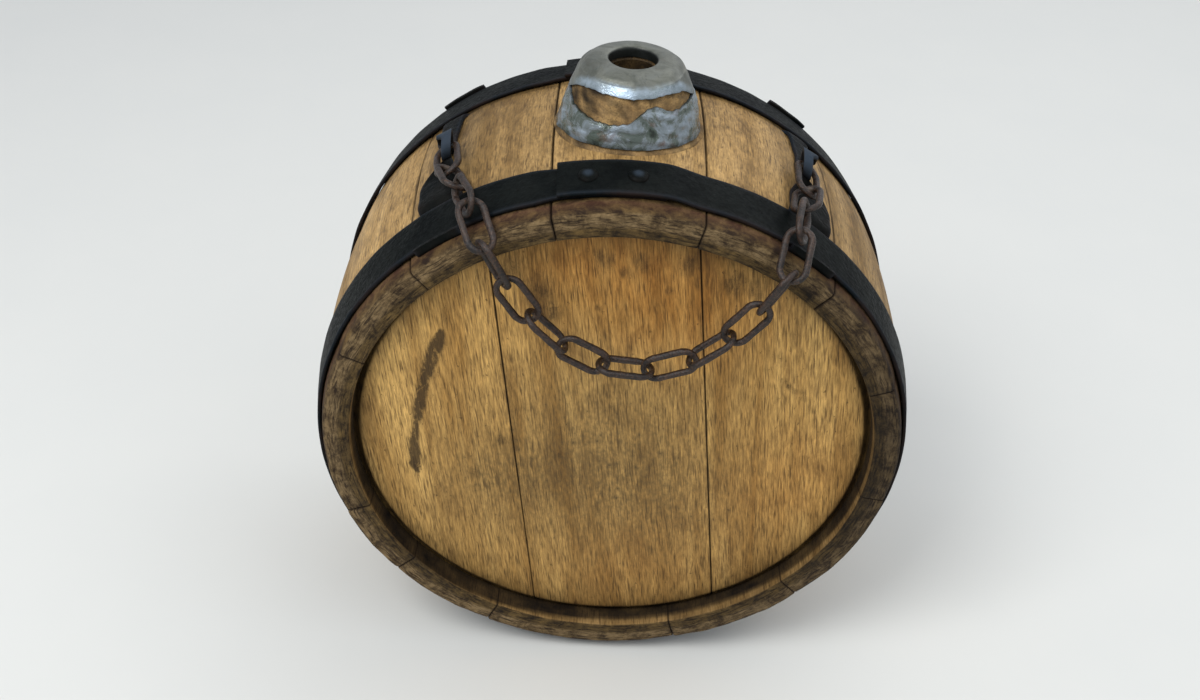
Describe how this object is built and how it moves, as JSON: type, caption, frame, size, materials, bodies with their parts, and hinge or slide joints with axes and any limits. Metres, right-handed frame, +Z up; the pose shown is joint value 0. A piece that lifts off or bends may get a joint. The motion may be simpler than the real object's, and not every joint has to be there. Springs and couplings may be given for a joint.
{
  "type": "wooden canteen",
  "caption": "Oval coopered wooden canteen with iron hoops, side straps with eyes, a carrying chain and a metal-capped mouth on top.",
  "frame": {"origin": "middle of the worn standing flat under the bottom stave, below the mouth", "axes": "+Z up through the mouth, -Y towards the head that the chain hangs over, +X to the right as seen from that head"},
  "size_m": [0.3152, 0.1814, 0.3371],
  "materials": {
    "stave_oak": "aged bare wood, worn, matt",
    "head_oak": "aged bare wood with waxy sheen",
    "black_iron": "black painted wrought iron, low sheen",
    "chain_iron": "brown rusted wrought iron",
    "spout_metal": "dull grey sheet metal, dented, patchy"
  },
  "bodies": {
    "barrel": {"stave_top": "stave_oak", "stave_r1": "stave_oak", "stave_r2": "stave_oak", "stave_r3": "stave_oak", "stave_r4": "stave_oak", "stave_r5": "stave_oak", "stave_bottom": "stave_oak", "stave_l5": "stave_oak", "stave_l4": "stave_oak", "stave_l3": "stave_oak", "stave_l2": "stave_oak", "stave_l1": "stave_oak", "head_front_left": "head_oak", "head_front_middle": "head_oak", "head_front_right": "head_oak", "head_back_left": "head_oak", "head_back_middle": "head_oak", "head_back_right": "head_oak", "hoop_front": "black_iron", "hoop_back": "black_iron", "rivet_front_1": "black_iron", "rivet_front_2": "black_iron", "rivet_back_1": "black_iron", "rivet_back_2": "black_iron", "strap_left": "black_iron", "strap_right": "black_iron", "spout_skirt": "spout_metal", "spout_cap": "spout_metal"},
    "chain_row_1": {"link_01": "chain_iron", "link_17": "chain_iron"},
    "chain_row_2": {"link_02": "chain_iron", "link_16": "chain_iron"},
    "chain_row_3": {"link_03": "chain_iron", "link_15": "chain_iron"},
    "chain_row_4": {"link_04": "chain_iron", "link_14": "chain_iron"},
    "chain_row_5": {"link_05": "chain_iron", "link_13": "chain_iron"},
    "chain_row_6": {"link_06": "chain_iron", "link_12": "chain_iron"},
    "chain_row_7": {"link_07": "chain_iron", "link_11": "chain_iron"},
    "chain_bottom": {"link_08": "chain_iron", "link_09": "chain_iron", "link_10": "chain_iron"}
  },
  "joints": [
    {"name": "chain_row_1_lift", "type": "hinge", "parent": "barrel", "child": "chain_row_1", "pos_m": [0, -0.0085, 0.28616], "axis": [-1, 0, 0], "range_deg": [0, 60]},
    {"name": "chain_row_2_lift", "type": "hinge", "parent": "chain_row_1", "child": "chain_row_2", "pos_m": [0.00076, -0.03285, 0.28636], "axis": [-1, 0.0009, 0.0065], "range_deg": [0, 25]},
    {"name": "chain_row_3_lift", "type": "hinge", "parent": "chain_row_2", "child": "chain_row_3", "pos_m": [0.00217, -0.05414, 0.28958], "axis": [-0.9999, 0.0055, 0.0117], "range_deg": [0, 25]},
    {"name": "chain_row_4_lift", "type": "hinge", "parent": "chain_row_3", "child": "chain_row_4", "pos_m": [0.0039, -0.0751, 0.28984], "axis": [-0.9994, 0.0127, 0.0329], "range_deg": [0, 25]},
    {"name": "chain_row_5_lift", "type": "hinge", "parent": "chain_row_4", "child": "chain_row_5", "pos_m": [0.00564, -0.09131, 0.27694], "axis": [-0.9989, 0.0143, 0.0457], "range_deg": [0, 25]},
    {"name": "chain_row_6_lift", "type": "hinge", "parent": "chain_row_5", "child": "chain_row_6", "pos_m": [0.0053, -0.09131, 0.25757], "axis": [-0.9986, 0.0143, 0.0507], "range_deg": [0, 25]},
    {"name": "chain_row_7_lift", "type": "hinge", "parent": "chain_row_6", "child": "chain_row_7", "pos_m": [0.00483, -0.0913, 0.2394], "axis": [-0.9982, 0.0143, 0.0574], "range_deg": [0, 25]},
    {"name": "chain_bottom_lift", "type": "hinge", "parent": "chain_row_7", "child": "chain_bottom", "pos_m": [0.00422, -0.09129, 0.22424], "axis": [-0.9977, 0.0143, 0.0662], "range_deg": [0, 25]}
  ]
}
